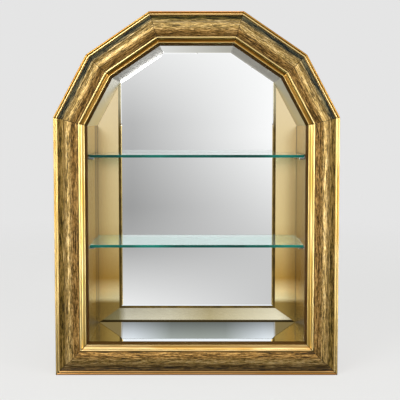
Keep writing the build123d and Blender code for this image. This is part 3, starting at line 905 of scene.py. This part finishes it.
def buildRing(hand, body, node, material):
    r = {key: value * millimetre for key, value in ringShape.items()}
    low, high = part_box(node)
    centre = Vector(((low.x + high.x) / 2, (low.y + high.y) / 2, 0))
    half, corner, drop = r["half"], r["corner"], r["drop"]
    steps, bow, sides = ringSteps["corner"], ringSteps["bow"], ringSteps["wire"]
    quarter = [pi / 2 * step / steps for step in range(steps + 1)]
    route = [(half - corner + corner * sin(turn), -corner + corner * cos(turn)) for turn in quarter]
    halfTurn = [pi * step / bow for step in range(bow + 1)]
    route += [(half * cos(turn), -drop - half * sin(turn)) for turn in halfTurn]
    route += [(-half + corner - corner * cos(turn), -corner + corner * sin(turn)) for turn in quarter]
    route += [(x * half, 0.0) for x in (-0.5, 0, 0.5)]
    vertices, faces = [], []
    count = len(route)
    for place, (x, z) in enumerate(route):
        before, after = Vector(route[place - 1]), Vector(route[(place + 1) % count])
        way = (after - before).normalized()
        for turn in range(sides):
            angle = 2 * pi * turn / sides
            out = r["wire"] * cos(angle)
            vertices.append(centre + Vector((x + way.y * out, r["wire"] * sin(angle), z - way.x * out)))
    for place in range(count):
        here, there = place * sides, (place + 1) % count * sides
        for turn in range(sides):
            following = (turn + 1) % sides
            faces.append((here + turn, here + following, there + following, there + turn))
    return addPiece(f"{hand}_ring", vertices, faces, body, [material], replaced=[node],
                    sharpAbove=60)


# Pan-head screws, in millimetres, seen from behind only by their heads
screws = {"head": 2.9, "headHeight": 1.8, "shank": 1.5, "length": 16.0, "slot": 0.45, "slotDepth": 0.8,
          "slotReach": 1.9}
headRings = [(0.35, 1.0), (0.7, 0.99), (1.3, 0.96), (1.9, 0.86), (2.4, 0.66), (2.75, 0.4),
             (screws["head"], 0.1), (screws["head"], 0)]  # radius, and height as a share of the head's
screwTurns = 24


def buildScrews(node, material, seats):
    # seats are (x, z, y of the seat); a head is a grid of rings, sunk where its cross lies
    s = screws
    angles = [2 * pi * turn / screwTurns for turn in range(screwTurns)]
    spokes = [(cos(angle), sin(angle)) for angle in angles]
    parts = []
    for x, z, seat in seats:

        def at(u, w, up):
            return Vector((x + u * millimetre, seat + up * millimetre, z + w * millimetre))

        vertices, rings = [at(0, 0, s["headHeight"] - s["slotDepth"])], [[0]]
        for radius, height in headRings:
            rings.append(list(range(len(vertices), len(vertices) + screwTurns)))
            for u, w in [(radius * across, radius * up) for across, up in spokes]:
                inCross = radius < s["slotReach"] and (abs(u) < s["slot"] or abs(w) < s["slot"])
                vertices.append(at(u, w, s["headHeight"] * height - (s["slotDepth"] if inCross else 0)))
        for way in (0, -s["length"]):
            rings.append(list(range(len(vertices), len(vertices) + screwTurns)))
            vertices += [at(s["shank"] * across, s["shank"] * up, way) for across, up in spokes]
        parts.append((vertices, ringFaces(rings, screwTurns) + [tuple(reversed(rings[-1]))]))
    vertices, faces = joined(parts)
    return addPiece(f"{node}_heads", vertices, faces, "cabinet", [material], replaced=[node])


def islandBoxes(node):
    # the box of each separate solid of a CAD node
    mesh = bmesh.new()
    mesh.from_mesh(nodes[node].data)
    bmesh.ops.remove_doubles(mesh, verts=mesh.verts, dist=1e-6)
    unseen, boxes = set(mesh.verts), []
    while unseen:
        stack, island = [unseen.pop()], []
        while stack:
            vertex = stack.pop()
            island.append(vertex.co.copy())
            for edge in vertex.link_edges:
                other = edge.other_vert(vertex)
                if other in unseen:
                    unseen.discard(other)
                    stack.append(other)
        low = Vector([min(point[axis] for point in island) for axis in range(3)])
        high = Vector([max(point[axis] for point in island) for axis in range(3)])
        boxes.append((low, high))
    mesh.free()
    return sorted(boxes, key=lambda box: (round(box[0].x, 4), round(box[0].z, 4)))


# Wall bumpers: shares of the pad's radius or thickness, and how deep its hollow face is, in millimetres
bumper = {"rim": 0.16, "waist": 0.55, "inner": 0.45, "hollow": 0.35, "hollowDepth": 0.3}
bumperSteps = {"rim": 4, "round": 32}


def buildBumpers(material):
    b, parts = bumper, []
    quarter = [pi / 2 * step / bumperSteps["rim"] for step in range(bumperSteps["rim"] + 1)]
    for low, high in islandBoxes("wall_bumpers"):
        radius, thick = (high.x - low.x) / 2, high.y - low.y
        rim, hollow = radius * b["rim"], thick - b["hollowDepth"] * millimetre
        profile = [(0, 0), (0, radius), (thick * b["waist"], radius)]
        profile += [(thick - rim * (1 - sin(turn)), radius - rim * (1 - cos(turn))) for turn in quarter]
        profile += [(thick, radius * b["inner"]), (hollow, radius * b["hollow"]), (hollow, 0)]
        foot = ((low.x + high.x) / 2, low.y, (low.z + high.z) / 2)
        parts.append(latheAlong(foot, (0, 1, 0), profile, bumperSteps["round"]))
    vertices, faces = joined(parts)
    return addPiece("bumper_pads", vertices, faces, "cabinet", [material],
                    replaced=["wall_bumpers"])


rubber = {"bloom": (180.0, 4.0), "black": [(0.3, "#141414"), (0.7, "#2A2A29")], "roughness": 0.72}


def mouldedRubber():
    # black moulded rubber: dull, with a faint bloom
    material, tree = startMaterial("moulded black rubber")
    colour = ramped(tree, clouded(tree, objectPlace(tree), *rubber["bloom"]), rubber["black"])
    return surfaced(material, principled(tree, colour, rubber["roughness"]))


timber = {
    "growth": (160.0, 7.0),  # how long and how far apart the growth lines are, in millimetres
    "fibre": (14.0, 0.9),
    "growthSeed": 2.9,
    "fibreSeed": 6.1,
    "detail": 2.0,
    "mix": (0.35, 0.65),
    "pine": [(0.3, "#B98D55"), (0.5, "#CFA870"), (0.7, "#DCBB88")],
    "roughness": 0.62,
    "bump": (0.2, 0.0003),
}


def sandedPine(side):
    # sanded pine without a finish: pale, with long growth lines along the board
    t = timber
    material, tree = startMaterial(f"sanded pine, {sideNames[side]}")
    along, inset, reach = sideCoordinates(tree, side)
    growth = combed(tree, along, inset, reach, *t["growth"], t["growthSeed"] * side, t["detail"])
    fibre = combed(tree, along, inset, reach, *t["fibre"], t["fibreSeed"] * side, t["detail"])
    mixed = summed(tree, *zip((fibre, growth), t["mix"]))
    others = {"Normal": bumped(tree, mixed, *t["bump"])}
    return surfaced(material, principled(tree, ramped(tree, mixed, t["pine"]), t["roughness"], others))


hardboard = {
    "fibres": (260.0, 4.0, 0.7),
    "cloud": (14.0, 2.0),
    "mix": (0.15, 0.85),
    "brown": [(0.38, "#5E4028"), (0.5, "#805A3A"), (0.62, "#9C7852")],
    "roughness": 0.7,
    "bump": (0.3, 0.0003),
}


def pressedHardboard():
    # wet-pressed fibreboard: brown, with short darker fibres lying every way
    h = hardboard
    material, tree = startMaterial("pressed hardboard")
    place = objectPlace(tree)
    fibres, cloud = clouded(tree, place, *h["fibres"]), clouded(tree, place, *h["cloud"])
    mixed = summed(tree, *zip((cloud, fibres), h["mix"]))
    others = {"Normal": bumped(tree, fibres, *h["bump"])}
    return surfaced(material, principled(tree, ramped(tree, mixed, h["brown"]), h["roughness"], others))


bronze = {
    "cloud": (40.0, 3.0),
    "lacquer": [(0.35, "#4E3E16"), (0.65, "#6B5520")],
    # the paler colour of the strip towards its top
    "worn": "#C2BA98",
    "paleFrom": (0.01, 0.08),  # the heights between which the strip turns paler, in metres
    "paleShare": 0.8,
    "metal": 0.8,
    "roughness": 0.4,
}


def bronzedStrip():
    # brass strip with a dark bronze lacquer, paler towards the top: a dull brown line between the panes
    b = bronze
    material, tree = startMaterial("bronzed brass strip")
    place = objectPlace(tree)
    height = addNode(tree, "ShaderNodeSeparateXYZ", {0: place}).outputs["Z"]
    # paler from the given height upwards
    worn = mapped(tree, height, *b["paleFrom"], 0.0, b["paleShare"])
    colour = ramped(tree, clouded(tree, place, *b["cloud"]), b["lacquer"])
    colour = blended(tree, worn, colour, b["worn"])
    return surfaced(material, principled(tree, colour, b["roughness"], {"Metallic": b["metal"]}))


setCamera()
lightRoom()
layFloor()
print("camera, light and floor are set")

for side in range(8):
    buildMoulding(side)
print("the eight moulding lengths are carved and gilded")

for name in panes:
    dress(nodes[name], silveredGlass(name))
strip = bronzedStrip()
for place in ("left", "right", "bottom"):
    dress(nodes[f"joint_strip_{place}"], strip)
print("the mirror panes are silvered")

glassMaterials = [floatGlass(), groundEdge()]
chrome = platedSteel("bright nickel plate", "#C9CACB", 0.16)
zinc = platedSteel("zinc plate", "#B9B6A8", 0.34)
for shelf in ("upper_shelf", "lower_shelf"):
    buildShelf(shelf, glassMaterials)
    buildPins(shelf, chrome)
print("the shelves lie on their pins")

for side, name in enumerate(sideNames):
    dress(nodes[f"case_board_{name}"], sandedPine(side))
dress(nodes["glue_blocks"], sandedPine(sideNames.index("bottom_rail")))
dress(nodes["back_panel"], pressedHardboard())
for hand in ("left", "right"):
    dress(nodes[f"{hand}_hanger_strap"], zinc)
    buildRing(hand, f"{hand}_ring", f"{hand}_hanger_ring", zinc)
for node in ("back_panel_screws", "hanger_screws"):
    seats = [((low.x + high.x) / 2, (low.z + high.z) / 2, high.y - screws["headHeight"] * millimetre)
             for low, high in islandBoxes(node)]
    buildScrews(node, zinc, seats)
buildBumpers(mouldedRubber())
for name in unseenInMirrors:
    (nodes.get(name) or bpy.data.objects[name]).visible_glossy = False
print("the back is closed and its hangers are on")
